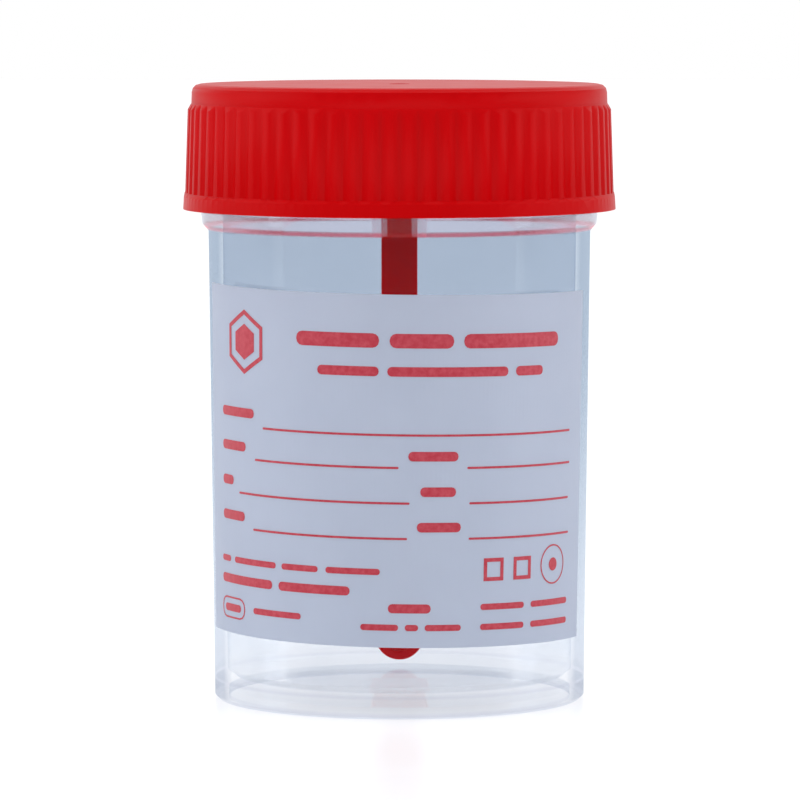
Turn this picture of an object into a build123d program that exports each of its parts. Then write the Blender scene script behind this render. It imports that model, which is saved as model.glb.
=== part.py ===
"""Specimen container: a clear screw-neck cup, its ribbed cap with a spoon pressed in, and a label.

Millimetres and degrees, +Z up. The origin is the middle of the foot ring's underside, and the front is -Y.
"""

import os
from math import atan, cos, degrees, radians, sin, tan

from build123d import *

# Cup, a drafted wall on a foot ring
body_top_radius = 20.4
body_spread = 0.6
body_height = 50.1
wall = 1.35
foot_ring_height = 1.1
foot_ring_width = 1.5
foot_corner = 0.4
floor_thickness = 1.3
floor_rise = 0.9
floor_slope_width = 6.8
floor_corner = 0.8

# Shoulder ring, on which the cap stops
shoulder_width = 1.2
shoulder_height = 2.0
shoulder_chamfer = 0.75
shoulder_draft = 0.15

# Neck, set in from the top of the body, and rim
neck_step = 0.4
neck_height = 12.05
neck_wall = 1.0
rim_corner = 0.3

# Screw thread, one coarse flight on the neck and one in the cap
thread_pitch = 3.6
thread_turns = 1.25
thread_depth = 0.85
thread_root = 1.5
thread_crest = 0.7
thread_sink = 0.3
thread_lead_in = 3.0
thread_run_out_angle = 22

# Clearances between the cup and the cap
thread_tip_clearance = 0.25
thread_flank_clearance = 0.15
rim_clearance = 0.15
shoulder_clearance = 0.3
seal_clearance = 0.1

# Cap
cap_wall = 1.1
cap_top = 1.4
cap_draft = 1.9
crown_height = 2.1
crown_corner = 0.85
crown_facets = 3
seal_depth = 2.0
seal_width = 0.9
mouth_chamfer = 0.3

# Ribs of the grip, whose tops slope in to a fine step under the crown, and the bead below them
rib_count = 72
rib_depth = 0.3
rib_gap = 0.25
rib_flank = 0.5
rib_top_slope = 0.6
rib_fade = 0.04
crown_step = 0.04
bead_height = 1.75
bead_projection = 0.23
bead_bevel = 0.4
bead_ledge = 0.16

# Socket of the cap, and the spoon's plug and collar that seat in it
plug_radius = 2.2
plug_length = 5.0
socket_wall = 1.2
socket_length = 5.6
collar_radius = 3.1
collar_thickness = 0.9
plug_chamfer = 0.4

# Spoon, a stem of I section and a scoop
stem_width = 3.84
stem_depth = 2.6
stem_flange = 0.75
stem_web = 1.0
scoop_length = 15.0
scoop_width = 7.2
scoop_belly = 7.0
scoop_tip_radius = 2.6
scoop_wall = 0.9
scoop_lip = 0.4
scoop_back = 2.9
scoop_tip_back = 0.7
stem_overlap = 2.5
tip_clearance = 0.6

# Label, stuck on a little askew
label_width = 52.0
label_foot_gap = 7.6
label_shoulder_gap = 5.7
label_turn = -3.1
label_askew = 1.1
label_thickness = 0.1
label_adhesive = 0.03
label_end_margin = 1.0

# Mark that the mould gate leaves on the crown
gate_radius = 1.1
gate_depth = 0.2

# Heights and radii that follow
foot_radius = body_top_radius - body_spread
neck_radius = body_top_radius - neck_step
shoulder_radius = neck_radius + shoulder_width
floor_edge = foot_ring_height + floor_thickness
floor_middle = floor_edge + floor_rise
shoulder_top = body_height + shoulder_height
rim_height = shoulder_top + neck_height
bore_floor_radius = foot_radius - wall
bore_rim_radius = neck_radius - neck_wall
wall_slope = body_spread / body_height
thread_rise = thread_turns * thread_pitch
flank_slope = (thread_root - thread_crest) / 2 / thread_depth
thread_start = shoulder_top + thread_lead_in

cap_bottom = shoulder_top + shoulder_clearance
cap_underside = rim_height + rim_clearance
cap_height = cap_underside + cap_top
cap_bore = neck_radius + thread_depth + thread_tip_clearance
flight_spacing = thread_root - flank_slope * (cap_bore - neck_radius) + thread_flank_clearance
grip_top = cap_height - crown_height
grip_bottom = cap_bottom + bead_height
crest_top = grip_top - rib_top_slope
socket_mouth = cap_underside - socket_length
stem_top = socket_mouth - collar_thickness
spoon_tip = floor_middle + tip_clearance
label_height = body_height - label_foot_gap - label_shoulder_gap
label_middle = label_foot_gap + label_height / 2


def revolved(section):
    """Turns a section, drawn as radius and height, about the axis of the container."""
    return revolve(Plane.XZ * section, Axis.Z)


def bevelled(section, corner, length):
    """Bevels the one corner of a section that lies nearest to a point."""
    return chamfer(section.vertices().sort_by_distance(corner)[0], length)


def flight(radius, side, start):
    """The thread on a wall, outwards for side 1 and inwards for -1, its root sunk a little in."""
    path = Helix(thread_pitch, thread_rise, radius, center=(0, 0, start))
    root_x = radius - side * thread_sink
    root_half = thread_root / 2 + flank_slope * thread_sink
    crest_x = radius + side * thread_depth
    crest_half = thread_crest / 2
    section = Polygon(
        (root_x, start - root_half),
        (crest_x, start - crest_half),
        (crest_x, start + crest_half),
        (root_x, start + root_half),
        align=None,
    )
    whole = sweep(Plane.XZ * section, path, is_frenet=True)
    wedge = run_out(radius, side)
    last = Rot(0, 0, 360 * thread_turns) * mirror(wedge, Plane.XZ)
    return whole - Pos(0, 0, start) * wedge - Pos(0, 0, start + thread_rise) * last


def run_out(radius, side):
    """The wedge that thins the first end of a flight down to the wall."""
    angle = radians(thread_run_out_angle)
    crest = radius + side * thread_depth
    beyond = crest + side * thread_depth
    outline = Polygon(
        (radius, 0),
        (crest * cos(angle), crest * sin(angle)),
        (beyond * cos(angle), beyond * sin(angle)),
        (beyond, -thread_root),
        (radius, -thread_root),
        align=None,
    )
    return extrude(outline, thread_pitch / 2, both=True)


def make_cup():
    """Wall, shoulder ring, neck and floor in one section, with the flight on the neck."""
    ring_inner = foot_radius - foot_ring_width
    floor_flat_radius = ring_inner - floor_slope_width
    shoulder_low = body_height + shoulder_chamfer
    recess_middle = foot_ring_height + floor_rise
    section = make_face(
        Polyline(
            (0, recess_middle),
            (floor_flat_radius, recess_middle),
            (ring_inner, foot_ring_height),
            (ring_inner, 0),
            (foot_radius, 0),
            (body_top_radius, body_height),
            (shoulder_radius - shoulder_draft, shoulder_low),
            (shoulder_radius, shoulder_top),
            (neck_radius, shoulder_top),
            (neck_radius, rim_height),
            (bore_rim_radius, rim_height),
            (bore_floor_radius, floor_edge),
            (floor_flat_radius, floor_middle),
            (0, floor_middle),
            close=True,
        )
    )
    section = bevelled(section, (foot_radius, 0), foot_corner)
    section = bevelled(section, (bore_floor_radius, floor_edge), floor_corner)
    section = bevelled(section, (neck_radius, rim_height), rim_corner)
    return revolved(section) + flight(neck_radius, 1, thread_start)


def make_cap():
    """Crown, ribbed grip and bead outside, thread, sealing ring and socket inside."""
    gate_mark = Pos(0, 0, cap_height) * Cylinder(gate_radius, 2 * gate_depth)
    crown_radius = cap_bore + cap_wall
    crest_top_radius = crown_radius + crown_step + rib_fade + rib_depth
    crest_low_radius = crest_top_radius + tan(radians(cap_draft)) * (crest_top - grip_bottom)
    outside = make_crown(crown_radius) + make_bead(crest_low_radius)
    outside += make_grip(crest_low_radius, crest_top_radius)
    return outside - gate_mark - cap_hollow() + flight(cap_bore, -1, thread_start - flight_spacing)


def make_crown(radius):
    """The drafted crown, its edge rounded in a few facets."""
    rim_radius = radius - tan(radians(cap_draft)) * (crown_height - crown_corner)
    turns = [radians(90 * step / crown_facets) for step in range(crown_facets + 1)]
    edge = [
        (rim_radius - crown_corner * (1 - cos(turn)), cap_height - crown_corner * (1 - sin(turn)))
        for turn in turns
    ]
    section = make_face(Polyline((0, grip_top), (radius, grip_top), *edge, (0, cap_height), close=True))
    return revolved(section)


def make_bead(crest_radius):
    """The smooth bead, which stands proud of the ribs with a narrow ledge on top."""
    radius = crest_radius + bead_projection
    return revolved(
        make_face(
            Polyline(
                (0, cap_bottom),
                (radius, cap_bottom),
                (radius - bead_ledge / 2, grip_bottom - bead_bevel),
                (radius - bead_ledge, grip_bottom),
                (0, grip_bottom),
                close=True,
            )
        )
    )


def make_grip(low_radius, top_radius):
    """A drafted prism with one flat per rib, grooved at its corners and sloped in at the top."""
    low = Pos(0, 0, grip_bottom) * RegularPolygon(low_radius, rib_count, major_radius=False)
    high = Pos(0, 0, crest_top) * RegularPolygon(top_radius, rib_count, major_radius=False)
    slope = degrees(atan((rib_fade + rib_depth) / rib_top_slope))
    grip = extrude(low, crest_top - grip_bottom, taper=cap_draft) + extrude(high, rib_top_slope, taper=slope)
    return grip - [place * rib_groove(low_radius) for place in PolarLocations(0, rib_count)]


def rib_groove(crest_radius):
    """The space between two ribs, which follows the draft of the grip."""
    draft = radians(cap_draft)
    root_radius = crest_radius - rib_depth
    outside = 2 * rib_depth
    open_half = rib_gap / 2 + rib_flank * outside / rib_depth
    outline = Polygon(
        (root_radius, -rib_gap / 2),
        (root_radius + outside, -open_half),
        (root_radius + outside, open_half),
        (root_radius, rib_gap / 2),
        align=None,
    )
    length = (grip_top - grip_bottom) / cos(draft)
    return extrude(Pos(0, 0, grip_bottom) * outline, length, dir=(-sin(draft), 0, cos(draft)))


def cap_hollow():
    """What is hollow in the cap: the space round the neck, inside the sealing ring, and the socket."""
    seal_radius = bore_rim_radius - seal_clearance
    seal_bottom = cap_underside - seal_depth
    socket_radius = plug_radius + socket_wall
    section = make_face(
        Polyline(
            (0, cap_bottom),
            (cap_bore, cap_bottom),
            (cap_bore, cap_underside),
            (seal_radius, cap_underside),
            (seal_radius, seal_bottom),
            (seal_radius - seal_width, seal_bottom),
            (seal_radius - seal_width, cap_underside),
            (socket_radius, cap_underside),
            (socket_radius, socket_mouth),
            (plug_radius, socket_mouth),
            (plug_radius, cap_underside),
            (0, cap_underside),
            close=True,
        )
    )
    mouth = Cone(cap_bore + mouth_chamfer, cap_bore, mouth_chamfer)
    return revolved(section) + Pos(0, 0, cap_bottom + mouth_chamfer / 2) * mouth


def make_spoon():
    """Plug and collar, stem of I section, and the scoop at its end."""
    plug = extrude(Pos(0, 0, socket_mouth) * Circle(plug_radius), plug_length)
    plug = chamfer(plug.edges().group_by(Axis.Z)[-1], plug_chamfer)
    collar = extrude(Pos(0, 0, stem_top) * Circle(collar_radius), collar_thickness)
    scoop_top = spoon_tip + scoop_length
    stem_low = scoop_top - stem_overlap
    web_width = stem_width - 2 * stem_flange
    side = (stem_width - stem_flange) / 2
    stem_section = Rectangle(web_width, stem_web)
    stem_section += [Pos(x, 0) * Rectangle(stem_flange, stem_depth) for x in (-side, side)]
    stem = extrude(Pos(0, 0, stem_low) * stem_section, stem_top - stem_low)
    return plug + collar + stem + make_scoop(scoop_top)


def make_scoop(scoop_top):
    """Where the outlines seen from the front and from the side cross, less the same set in by a wall."""
    whole = extrude(front_outline(scoop_top, 0), scoop_width, both=True)
    whole &= extrude(side_outline(scoop_top, 0), scoop_width, both=True)
    hollow = extrude(front_outline(scoop_top, scoop_wall), scoop_width, both=True)
    hollow &= extrude(side_outline(scoop_top, scoop_wall), scoop_width, both=True)
    return whole - hollow


def front_outline(scoop_top, inset):
    """A narrow tip, a wider belly and, on the outside, the taper to the stem."""
    tip = Pos(0, spoon_tip + scoop_tip_radius) * Circle(scoop_tip_radius - inset)
    belly = Pos(0, spoon_tip + scoop_belly) * Circle(scoop_width / 2 - inset)
    edges = [*tip.edges(), *belly.edges()]
    if inset == 0:
        edges += [Line((-stem_width / 2, scoop_top), (stem_width / 2, scoop_top)).edge()]
    return Plane.XZ * make_hull(edges)


def side_outline(scoop_top, inset):
    """The curved back from the stem to the tip. The outside ends at the lip, and the inside is open."""
    front = -scoop_lip if inset == 0 else -scoop_width
    back = ThreePointArc(
        (scoop_tip_back - inset, spoon_tip),
        (scoop_back - inset, spoon_tip + scoop_belly),
        (stem_depth / 2 - inset, scoop_top),
    )
    ends = Polyline((stem_depth / 2 - inset, scoop_top), (front, scoop_top), (front, spoon_tip), back @ 0)
    return Plane.YZ * make_face([*back.edges(), *ends.edges()])


def make_label():
    """A thin strip that follows the drafted wall, square to it and a little askew."""
    inner = foot_radius + label_adhesive
    outer = inner + label_thickness
    low = label_end_margin
    high = body_height - label_end_margin
    band = revolved(
        make_face(
            Polyline(
                (inner + wall_slope * low, low),
                (outer + wall_slope * low, low),
                (outer + wall_slope * high, high),
                (inner + wall_slope * high, high),
                close=True,
            )
        )
    )
    radius = foot_radius + wall_slope * label_middle
    half_angle = degrees(label_width / radius / 2)
    arc = CenterArc((0, 0), 2 * radius, -90 - half_angle, 2 * half_angle)
    sides = Polyline(arc @ 0, (0, 0), arc @ 1)
    sector = make_face([*arc.edges(), *sides.edges()])
    window = extrude(sector, label_height / 2, both=True)
    front = Pos(0, -radius, label_middle)
    lean = degrees(atan(wall_slope))
    window = front * Rot(lean, label_askew, 0) * Pos(0, radius, 0) * window
    return Rot(0, 0, label_turn) * (band & window)


if __name__ == "__main__":
    os.makedirs("parts", exist_ok=True)
    for name, make in (
        ("cup", make_cup),
        ("cap", make_cap),
        ("spoon", make_spoon),
        ("label", make_label),
    ):
        export_step(make(), f"parts/{name}.step")
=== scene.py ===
"""Looks of the specimen container: clear cup, red ribbed cap, spoon inside, and the printed label.

Metres, +Z up, front -Y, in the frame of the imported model.
"""

from math import radians

import bpy
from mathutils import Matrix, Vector


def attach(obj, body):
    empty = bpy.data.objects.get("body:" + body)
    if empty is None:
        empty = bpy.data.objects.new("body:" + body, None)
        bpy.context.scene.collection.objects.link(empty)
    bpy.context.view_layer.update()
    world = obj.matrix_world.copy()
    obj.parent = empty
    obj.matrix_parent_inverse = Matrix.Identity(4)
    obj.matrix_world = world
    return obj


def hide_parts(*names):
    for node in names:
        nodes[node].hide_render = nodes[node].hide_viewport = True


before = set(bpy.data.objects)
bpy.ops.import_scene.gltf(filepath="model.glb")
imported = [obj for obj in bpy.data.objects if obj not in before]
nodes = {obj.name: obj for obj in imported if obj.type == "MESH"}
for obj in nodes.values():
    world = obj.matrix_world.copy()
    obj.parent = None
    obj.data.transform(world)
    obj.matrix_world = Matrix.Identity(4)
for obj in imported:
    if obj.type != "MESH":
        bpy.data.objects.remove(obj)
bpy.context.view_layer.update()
mm = 0.001

# The view, fitted to the rims and the foot in the photograph
camera_place = Vector((0.000064, -0.6, 0.07932))
camera_pitch = 4.523
lens = 252.72
sensor_width = 36

# Softboxes: place, what they are aimed at, and watts
softbox_size = 0.5
softboxes = {
    "left_softbox": ((-0.62, -0.10, 0.28), (0, 0, 0.035), 1.15),
    "right_softbox": ((0.62, -0.10, 0.28), (0, 0, 0.035), 1.0),
    "top_softbox": ((0, -0.25, 0.60), (0, 0, 0.06), 0.7),
}
studio_light = 0.78
table_glow = 0.3
table_width = 6

# Wall of the cup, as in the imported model
foot_radius = 19.8 * mm
wall_slope = 0.6 / 50.1

# Clear plastic: tints for one surface that a line of sight crosses; the deep tints and the deep glass
# are painted shade, deeper towards the shoulder under the cap
pale_tint = (0.938, 0.946, 0.962, 1)
painted_shade_tint = (0.777, 0.813, 0.86, 1)
pale_edge_tint = (0.81, 0.835, 0.88, 1)
painted_shade_edge_tint = (0.62, 0.68, 0.755, 1)
foot_edge_tint = (0.70, 0.73, 0.79, 1)
# Painted shade: a grey tint that draws thin dark lines along the bottom edge and round the foot
painted_shade_line_tint = (0.86, 0.87, 0.91, 1)
shoulder_tint = (0.84, 0.83, 0.885, 1)
# Painted reflection: a pink band that stands in for the red cap's light seen in the shoulder
painted_cap_reflection_tint = (1.0, 0.46, 0.54, 1)
lit_tint = (0.97, 0.98, 0.99, 1)
pale_glass = (0.90, 0.92, 0.95, 1)
painted_shade_glass = (0.78, 0.82, 0.87, 1)
reflection = (0.9, 0.95, 1, 1)
plastic_ior = 1.5
mirror_share = 0.16
shoulder_glass = 0.35
floor_glass = 0.18

# Clear plastic: heights between which a tint comes in or goes out
# Painted shade lines: along the bottom edge under the first heights, and round the outside of the
# foot between the ring heights
low_edge_end = (0.3 * mm, 0.5 * mm)
foot_edge_end = (1.5 * mm, 3.5 * mm)
painted_shade_ring_start = (2.0 * mm, 2.2 * mm)
painted_shade_ring_end = (2.3 * mm, 2.6 * mm)
floor_start = (2.4 * mm, 2.7 * mm)
floor_end = (3.5 * mm, 5.5 * mm)
# Painted shade: between these heights the tint deepens towards the shoulder, under the cap
painted_shade_heights = (3.0 * mm, 38.0 * mm)
shoulder_start = (50.2 * mm, 50.4 * mm)
# Painted reflection of the red cap: the pink band ends between these heights
painted_cap_reflection_end = (50.6 * mm, 50.8 * mm)
outer_wall = (19.3 * mm, 19.5 * mm)
grazing_range = (0.58, 0.70)

# Red plastic: darker and lighter shade, roughness, sheen, and the light that seeps through
cap_finish = ((0.575, 0.0, 0.001, 1), (0.605, 0.0, 0.002, 1), 0.35, 0.05, 0.0)
# The spoon's red is painted lighter than the cap's: painted light that makes up for the shade it sits
# in, inside the cup
spoon_finish_with_painted_light = ((0.86, 0.0, 0.005, 1), (0.92, 0.001, 0.009, 1), 0.33, 0.10, 0.8)
seep_colours = (1.0, 0.12, 0.08)
seep_depth = 2.5 * mm
smoothing_angle = 15

# Label, bent round the wall: sizes, turn about the axis and tilt in degrees
label_width = 52.0 * mm
label_height = 36.8 * mm
label_middle = 26.0 * mm
label_turn = -3.1
label_askew = 0.85
label_gap = 0.03 * mm
label_thickness = 0.1 * mm
paper_strip = 0.5 * mm
paper_share_through = 0.3
ink_lift = 0.02 * mm
ink_thickness = 0.01 * mm
ink_strip = 1.0 * mm

# Print on the flat label, in millimetres from its middle: left end, right end and middle height
rules = (
    (-14.8, 23.0, 3.8),
    (-16.0, 1.0, 0.4),
    (8.3, 23.1, 0.4),
    (-18.8, 2.2, -3.3),
    (8.6, 22.9, -3.3),
    (-16.3, 2.0, -7.0),
    (8.6, 23.1, -7.0),
)
heading_bars = ((-10.3, -1.2, 13.6), (-0.1, 6.6, 13.6), (7.7, 20.2, 13.6))
second_bars = ((-7.8, -1.2, 10.4), (-0.3, 12.9, 10.4), (13.9, 17.7, 10.4))
field_bars = (
    (-22.5, -16.2, 5.2),
    (-22.5, -17.6, 1.6),
    (-22.5, -20.0, -2.1),
    (-22.5, -17.8, -5.8),
    (2.0, 7.3, 1.6),
    (3.3, 7.1, -2.1),
    (3.0, 7.7, -5.8),
)
note_bars = (
    (-22.8, -20.7, -10.5),
    (-19.8, -12.9, -10.5),
    (-12.1, -7.6, -10.5),
    (-6.7, -0.8, -10.5),
    (-16.3, -9.6, -15.6),
    (10.1, 15.6, -14.2),
    (16.6, 23.0, -14.2),
    (10.1, 15.6, -16.3),
    (16.6, 23.0, -16.3),
    (-2.8, 1.2, -16.3),
    (1.9, 3.3, -16.3),
    (4.0, 7.9, -16.3),
)
bold_bars = ((-22.8, -13.4, -12.6), (-12.5, -4.0, -12.6), (0.1, 4.6, -14.3))
bars_by_thickness = (
    (0.23, rules),
    (1.5, heading_bars),
    (1.0, second_bars),
    (1.0, field_bars),
    (0.65, note_bars),
    (0.95, bold_bars),
)
bar_corner = 0.45

# Marks on the flat label, in millimetres: a framed bar, a hexagon, two boxes and a ring with a dot
framed_bar = (-22.1, -18.6, -15.7, 0.8)
bar_frame = (-22.9, -17.8, -15.7, 2.3)
bar_frame_width = 0.18
hexagon_place = (-17.8, 12.7)
hexagon_radius = 3.4
hexagon_width = 0.45
hexagon_core = 1.9
box_lefts = (10.4, 14.1)
box_low, box_side, box_width = -11.5, 2.4, 0.4
ring_place = (20.1, -10.2)
ring_radius, ring_width, ring_corners = 2.1, 0.16, 40
dot_radius, dot_corners = 0.7, 24


class Wire:
    """One output of a shader node, on which plain arithmetic adds Math nodes."""

    def __init__(self, paint, socket):
        self.paint = paint
        self.socket = socket

    def math(self, operation, first, second):
        return self.paint.add("Math", {"operation": operation}, {0: first, 1: second})

    def higher(self, other):
        return self.math("MAXIMUM", self, other)

    def __add__(self, other):
        return self.math("ADD", self, other)

    def __radd__(self, other):
        return self.math("ADD", other, self)

    def __sub__(self, other):
        return self.math("SUBTRACT", self, other)

    def __rsub__(self, other):
        return self.math("SUBTRACT", other, self)

    def __mul__(self, other):
        return self.math("MULTIPLY", self, other)

    def __rmul__(self, other):
        return self.math("MULTIPLY", other, self)

    def __pow__(self, other):
        return self.math("POWER", self, other)


class Paint:
    """The node tree of one material or of the world."""

    def __init__(self, owner):
        owner.use_nodes = True
        self.tree = owner.node_tree
        self.tree.nodes.clear()

    def add(self, kind, settings=None, values=None, output=0):
        """Adds a node, makes its settings, then fills its sockets, and returns one output."""
        node = self.tree.nodes.new("ShaderNode" + kind)
        for name, value in (settings or {}).items():
            setattr(node, name, value)
        for name, value in (values or {}).items():
            socket = node.inputs[name]
            if isinstance(value, Wire):
                self.tree.links.new(value.socket, socket)
            else:
                socket.default_value = value
        return Wire(self, node.outputs[output])

    def place(self):
        """Object coordinates, which stay with the piece."""
        return self.add("TexCoord", output="Object")

    def along(self, axis):
        return self.add("SeparateXYZ", values={0: self.place()}, output=axis)

    def from_axis(self):
        across, depth = self.along("X"), self.along("Y")
        return (across * across + depth * depth) ** 0.5

    def noise(self, scale, detail, stretch=(1, 1, 1)):
        place = self.add("VectorMath", {"operation": "MULTIPLY"}, {0: self.place(), 1: stretch})
        return self.add("TexNoise", values={"Vector": place, "Scale": scale, "Detail": detail})

    def blend(self, share, first, second):
        """A colour between two others."""
        values = {"Factor": share, 6: first, 7: second}
        return self.add("Mix", {"data_type": "RGBA"}, values, output=2)

    def spread(self, wire, low, high, to_low, to_high):
        """A value moved from one range to another, and kept in it."""
        values = {"Value": wire, "From Min": low, "From Max": high}
        values.update({"To Min": to_low, "To Max": to_high})
        return self.add("MapRange", values=values)

    def above(self, wire, limits):
        """0 under two limits, 1 over them."""
        return self.spread(wire, *limits, 0, 1)

    def below(self, wire, limits):
        """1 under two limits, 0 over them."""
        return self.spread(wire, *limits, 1, 0)

    def patches(self, wire, low=0, high=1):
        """Noise spread out between two values."""
        return self.spread(wire, 0.3, 0.7, low, high)

    def bump(self, wire, strength, distance):
        values = {"Height": wire, "Strength": strength, "Distance": distance}
        return self.add("Bump", values=values, output="Normal")

    def film(self, tint):
        """A clear surface that tints what is seen through it."""
        return self.add("BsdfTransparent", values={"Color": tint})

    def layer(self, share, first, second):
        """Two surfaces mixed by a share."""
        return self.add("MixShader", values={0: share, 1: first, 2: second})

    def background(self, colour, strength):
        return self.add("Background", values={"Color": colour, "Strength": strength})

    def ray(self, kind):
        """1 for one kind of ray, such as Camera."""
        return self.add("LightPath", output="Is " + kind + " Ray")

    def finish(self, surface):
        world = isinstance(self.tree.id_data, bpy.types.World)
        node = self.tree.nodes.new("ShaderNodeOutput" + ("World" if world else "Material"))
        self.tree.links.new(surface.socket, node.inputs["Surface"])


def material(name):
    made = bpy.data.materials.new(name)
    return made, Paint(made)


def red_plastic(name, deep, bright, shine, sheen, seep):
    """Moulded red plastic: faint clouds in the colour, a fine mould texture, uneven gloss and some
    light that seeps through thin walls."""
    made, paint = material(name)
    cloud = paint.noise(90, 3)
    grain = paint.noise(3200, 2)
    flow = paint.noise(240, 3, (1, 1, 0.25))
    values = {
        "Base Color": paint.blend(paint.patches(cloud), deep, bright),
        "Roughness": paint.patches(flow, shine - 0.02, shine + 0.02),
        "IOR": plastic_ior,
        "Specular IOR Level": sheen,
        "Subsurface Weight": seep,
        "Subsurface Radius": seep_colours,
        "Subsurface Scale": seep_depth,
        "Normal": paint.bump(grain, 0.06, 0.02 * mm),
    }
    paint.finish(paint.add("BsdfPrincipled", values=values))
    return made


def clear_film(paint, height, deep):
    """What the clear plastic does to straight sight: tints, deeper at its edges, with painted shade
    that deepens towards the shoulder, painted lines of shade at the foot and a painted reflection of
    the red cap at the shoulder.
    """
    outside = paint.above(paint.from_axis(), outer_wall)
    facing = paint.add("LayerWeight", values={"Blend": 0.5}, output="Facing")
    edge = outside * paint.above(facing, grazing_range)
    # painted shade: the deep tints darken the film towards the shoulder
    front = paint.layer(deep, paint.film(pale_tint), paint.film(painted_shade_tint))
    rim = paint.layer(deep, paint.film(pale_edge_tint), paint.film(painted_shade_edge_tint))
    rim = paint.layer(paint.below(height, foot_edge_end), rim, paint.film(foot_edge_tint))
    film = paint.layer(edge, front, rim)
    shoulder = paint.above(height, shoulder_start)
    # painted reflection of the red cap: a pink band just under it at the shoulder
    painted_cap_reflection = shoulder * paint.below(height, painted_cap_reflection_end)
    film = paint.layer(shoulder, film, paint.film(shoulder_tint))
    film = paint.layer(painted_cap_reflection, film, paint.film(painted_cap_reflection_tint))
    # painted shade: thin grey lines at the bottom edge and round the foot
    painted_shade_ring = paint.above(height, painted_shade_ring_start) * paint.below(height, painted_shade_ring_end)
    film = paint.layer(paint.below(height, low_edge_end), film, paint.film(painted_shade_line_tint))
    film = paint.layer(outside * painted_shade_ring, film, paint.film(painted_shade_line_tint))
    floor_top = paint.below(height, floor_end) * paint.above(height, floor_start)
    return film, shoulder_glass * shoulder + floor_glass * floor_top * (1 - outside)


def clear_plastic():
    """Clear moulded plastic with a blue cast and painted shade that deepens towards the shoulder,
    that mirrors a little and bends what is seen through the shoulder and the floor."""
    made, paint = material("clear_cup_plastic")
    height = paint.along("Z")
    flow = paint.noise(140, 3, (1, 1, 0.12))
    # painted shade: deeper with height towards the shoulder, with random flow in it
    deep = paint.above(height, painted_shade_heights) + paint.patches(flow, -0.05, 0.05)
    haze = paint.spread(paint.noise(260, 3), 0.35, 0.75, 0.02, 0.07)
    film, glass_share = clear_film(paint, height, deep)
    gloss = paint.add("BsdfGlossy", values={"Color": reflection, "Roughness": haze})
    mirror = paint.add("Fresnel", values={"IOR": plastic_ior})
    film = paint.layer(mirror_share * mirror, film, gloss)
    values = {
        # painted shade in the glass colour too, deeper towards the shoulder
        "Base Color": paint.blend(deep, pale_glass, painted_shade_glass),
        "Roughness": haze,
        "IOR": plastic_ior,
        "Transmission Weight": 1.0,
        "Normal": paint.bump(flow, 0.06, 0.1 * mm),
    }
    seen = paint.layer(glass_share, film, paint.add("BsdfPrincipled", values=values))
    clear = paint.film(lit_tint)
    scattered = paint.layer(paint.ray("Diffuse"), seen, clear)
    paint.finish(paint.layer(paint.ray("Shadow"), scattered, clear))
    return made


def label_paper():
    """White coated paper with faint clouds of fibre and a satin gloss, its front painted blue-grey
    with shade, with some light through it."""
    made, paint = material("label_paper")
    cloud = paint.patches(paint.noise(150, 4))
    fibre = paint.noise(2600, 3, (1, 1, 0.4))
    # painted shade: the front is painted blue-grey, the shade on the white paper; the back keeps the
    # paper's white
    front = paint.blend(cloud, (0.54, 0.59, 0.72, 1), (0.565, 0.615, 0.745, 1))
    back = paint.blend(cloud, (0.86, 0.88, 0.92, 1), (0.90, 0.92, 0.95, 1))
    depth = paint.from_axis() - wall_slope * paint.along("Z")
    inner = foot_radius + label_gap
    behind = paint.below(depth, (inner + 0.03 * mm, inner + 0.07 * mm))
    values = {
        "Base Color": paint.blend(behind, front, back),
        "Roughness": paint.patches(fibre, 0.38, 0.5),
        "IOR": 1.45,
        "Normal": paint.bump(fibre, 0.15, 0.01 * mm),
    }
    sheet = paint.add("BsdfPrincipled", values=values)
    through = paint.add("BsdfTranslucent", values={"Color": (0.86, 0.90, 0.97, 1)})
    paint.finish(paint.layer(paper_share_through, sheet, through))
    return made


def print_ink():
    """Dark red ink with a slightly mottled cover."""
    made, paint = material("label_ink")
    mottle = paint.noise(1800, 3)
    cover = paint.spread(mottle, 0.35, 0.7, 0, 1)
    values = {
        "Base Color": paint.blend(cover, (0.52, 0.03, 0.055, 1), (0.60, 0.07, 0.10, 1)),
        "Roughness": paint.patches(mottle, 0.35, 0.5),
        "IOR": 1.45,
    }
    paint.finish(paint.add("BsdfPrincipled", values=values))
    return made


def white_table():
    """Pale table: takes the shadow, mirrors faintly, and shows white to the camera."""
    made, paint = material("white_table")
    grain = paint.noise(60, 3)
    values = {
        "Base Color": paint.blend(grain, (0.80, 0.81, 0.82, 1), (0.815, 0.825, 0.835, 1)),
        "Roughness": paint.patches(grain, 0.25, 0.27),
        "IOR": 1.45,
        "Specular IOR Level": 0.35,
    }
    table = paint.add("BsdfPrincipled", values=values)
    glow = paint.add("Emission", values={"Color": (1, 1, 1, 1), "Strength": table_glow})
    dark = paint.add("Emission", values={"Color": (0, 0, 0, 1), "Strength": 0.0})
    shown = paint.ray("Camera").higher(paint.ray("Glossy")).higher(paint.ray("Transmission"))
    paint.finish(paint.add("AddShader", values={0: table, 1: paint.layer(shown, dark, glow)}))
    return made


def white_world():
    """Even studio light, seen as plain white, with a dim room in front for what is mirrored."""
    world = bpy.data.worlds.new("studio")
    bpy.context.scene.world = world
    paint = Paint(world)
    light = paint.background((0.96, 0.98, 1.0, 1), studio_light)
    white = paint.background((1, 1, 1, 1), 1.0)
    dim = paint.background((0, 0, 0, 1), 0.0)
    direction = paint.add("TexCoord", output="Generated")
    back = paint.add("SeparateXYZ", values={0: direction}, output="Y")
    mirrored = paint.layer(paint.spread(back, -0.35, 0.35, 0.03, 1.0), dim, white)
    shown = paint.ray("Camera").higher(paint.ray("Transmission"))
    paint.finish(paint.layer(paint.ray("Glossy"), paint.layer(shown, light, white), mirrored))


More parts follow.
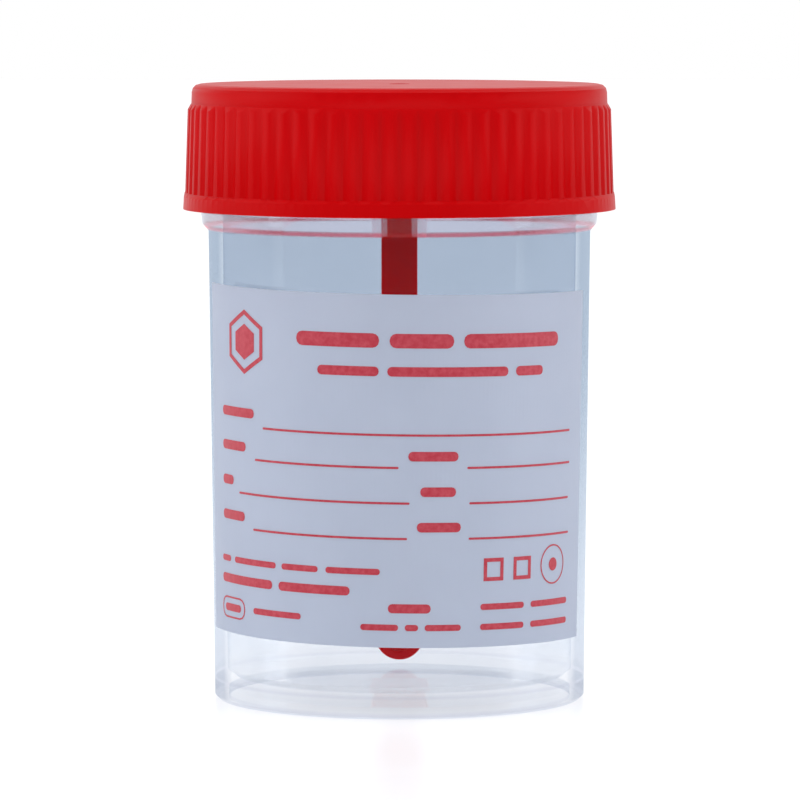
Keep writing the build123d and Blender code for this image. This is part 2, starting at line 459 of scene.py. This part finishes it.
def add_softbox(name, place, target, watts):
    data = bpy.data.lights.new(name, "AREA")
    data.shape = "RECTANGLE"
    data.size = data.size_y = softbox_size
    data.energy = watts
    thing = bpy.data.objects.new(name, data)
    bpy.context.scene.collection.objects.link(thing)
    thing.location = place
    thing.rotation_euler = (Vector(target) - Vector(place)).to_track_quat("-Z", "Y").to_euler()


def clear_selection():
    if bpy.context.object and bpy.context.object.mode != "OBJECT":
        bpy.ops.object.mode_set(mode="OBJECT")
    bpy.ops.object.select_all(action="DESELECT")


def choose(*things):
    clear_selection()
    for thing in things:
        thing.select_set(True)
    bpy.context.view_layer.objects.active = things[-1]


def edit(thing):
    """Opens a piece in edit mode with all of it selected."""
    choose(thing)
    bpy.ops.object.mode_set(mode="EDIT")
    bpy.ops.mesh.select_all(action="SELECT")


def close_edit():
    bpy.ops.object.mode_set(mode="OBJECT")


def apply_place(thing):
    choose(thing)
    bpy.ops.object.transform_apply(location=True, rotation=True, scale=True)


def modify(thing, kind, **settings):
    """Adds one modifier and applies it."""
    choose(thing)
    added = thing.modifiers.new(kind.lower(), kind)
    for name, value in settings.items():
        setattr(added, name, value)
    bpy.ops.object.modifier_apply(modifier=added.name)


def flat_box(name, left, right, low, high):
    """A flat rectangle on the sheet, which stands upright and faces the front."""
    clear_selection()
    middle = ((left + right) / 2, 0, (low + high) / 2)
    bpy.ops.mesh.primitive_plane_add(size=1, location=middle, rotation=(radians(90), 0, 0))
    piece = bpy.context.object
    piece.name = piece.data.name = name
    piece.scale = (right - left, high - low, 1)
    apply_place(piece)
    return piece


def bar(left, right, middle, thickness):
    """One printed bar with rounded ends, in millimetres on the flat label."""
    low, high = middle - thickness / 2, middle + thickness / 2
    piece = flat_box("bar", left * mm, right * mm, low * mm, high * mm)
    corner = bar_corner * min(thickness, right - left) * mm
    edit(piece)
    bpy.ops.mesh.bevel(offset=corner, segments=3, affect="VERTICES")
    close_edit()
    return piece


def outline(piece, width):
    """Leaves only a border of a flat shape."""
    edit(piece)
    bpy.ops.mesh.inset(thickness=width * mm)
    bpy.ops.mesh.delete(type="FACE")
    close_edit()
    return piece


def disc(place, radius, corners):
    """A flat many-cornered shape on the sheet."""
    clear_selection()
    across, up = place
    bpy.ops.mesh.primitive_circle_add(
        vertices=corners,
        radius=radius * mm,
        fill_type="NGON",
        location=(across * mm, 0, up * mm),
        rotation=(radians(90), 0, 0),
    )
    piece = bpy.context.object
    apply_place(piece)
    return piece


def print_shapes():
    """Everything printed on the label, joined into one flat piece."""
    shapes = [bar(*place, thick) for thick, places in bars_by_thickness for place in places]
    shapes += [outline(bar(*bar_frame), bar_frame_width), bar(*framed_bar)]
    shapes.append(outline(disc(hexagon_place, hexagon_radius, 6), hexagon_width))
    shapes.append(disc(hexagon_place, hexagon_core, 6))
    for left in box_lefts:
        sides = (left, left + box_side, box_low, box_low + box_side)
        shapes.append(outline(flat_box("box", *(side * mm for side in sides)), box_width))
    shapes.append(outline(disc(ring_place, ring_radius, ring_corners), ring_width))
    shapes.append(disc(ring_place, dot_radius, dot_corners))
    choose(*shapes)
    bpy.ops.object.join()
    joined = bpy.context.object
    joined.name = joined.data.name = "label_print"
    return joined


def slice_upright(piece, step):
    """Cuts a flat piece into upright strips, so that it can bend round the wall."""
    across = [v.co.x for v in piece.data.vertices]
    place, high = min(across) + step, max(across)
    edit(piece)
    while place < high - step / 4:
        bpy.ops.mesh.select_all(action="SELECT")
        bpy.ops.mesh.bisect(plane_co=(place, 0, 0), plane_no=(1, 0, 0))
        place += step
    close_edit()


def span_of(piece, axis):
    places = [v.co[axis] for v in piece.data.vertices]
    return max(places) - min(places)


def wrap_on_wall(piece, lift, thickness):
    """Tilts a flat sheet a little askew, bends it round the drafted wall and gives it a thickness."""
    radius = foot_radius + wall_slope * label_middle + label_gap + lift
    piece.rotation_euler = (0, radians(label_askew), 0)
    apply_place(piece)
    turn = span_of(piece, 0) / radius
    modify(piece, "SIMPLE_DEFORM", deform_method="BEND", deform_axis="Z", angle=turn)
    piece.location = (0, -radius, 0)
    apply_place(piece)
    draft = wall_slope * span_of(piece, 2) / radius
    modify(piece, "SIMPLE_DEFORM", deform_method="TAPER", deform_axis="Z", factor=draft)
    piece.location = (0, 0, label_middle)
    piece.rotation_euler = (0, 0, radians(label_turn))
    apply_place(piece)
    modify(piece, "SOLIDIFY", thickness=thickness, offset=1.0)


def smooth_copy(node, name):
    """A copy of a moulded piece with its triangles joined and its curved faces shaded smooth."""
    piece = bpy.data.objects.new(name, node.data.copy())
    piece.data.name = name
    bpy.context.scene.collection.objects.link(piece)
    edit(piece)
    bpy.ops.mesh.remove_doubles(threshold=0.001 * mm)
    close_edit()
    bpy.ops.object.shade_smooth_by_angle(angle=radians(smoothing_angle))
    return piece


def clad(piece, paint):
    piece.data.materials.clear()
    piece.data.materials.append(paint)
    for face in piece.data.polygons:
        face.material_index = 0


# Camera
view = bpy.data.cameras.new("view")
view.lens = lens
view.sensor_width = sensor_width
camera = bpy.data.objects.new("view", view)
camera.location = camera_place
camera.rotation_euler = (radians(90 - camera_pitch), 0, 0)
bpy.context.scene.collection.objects.link(camera)
bpy.context.scene.camera = camera
bpy.context.scene.view_settings.view_transform = "Standard"

# Studio
white_world()
for softbox, (place, target, watts) in softboxes.items():
    add_softbox(softbox, place, target, watts)
clear_selection()
bpy.ops.mesh.primitive_plane_add(size=table_width, location=(0, 0, 0))
table = bpy.context.object
table.name = table.data.name = "table"
clad(table, white_table())

# Moulded pieces
cap = smooth_copy(nodes["cap"], "screw_cap")
clad(cap, red_plastic("cap_red_plastic", *cap_finish))
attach(cap, "cap")
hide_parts("cap")
# the spoon's red carries painted light, lighter than the cap's
clad(nodes["spoon"], red_plastic("spoon_red_plastic_painted_light", *spoon_finish_with_painted_light))
clad(nodes["cup"], clear_plastic())

# Label
half_width, half_height = label_width / 2, label_height / 2
paper = flat_box("label_sheet", -half_width, half_width, -half_height, half_height)
slice_upright(paper, paper_strip)
wrap_on_wall(paper, 0, label_thickness)
clad(paper, label_paper())
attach(paper, "cup")
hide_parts("label")

ink = print_shapes()
slice_upright(ink, ink_strip)
wrap_on_wall(ink, label_thickness + ink_lift, ink_thickness)
clad(ink, print_ink())
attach(ink, "cup")
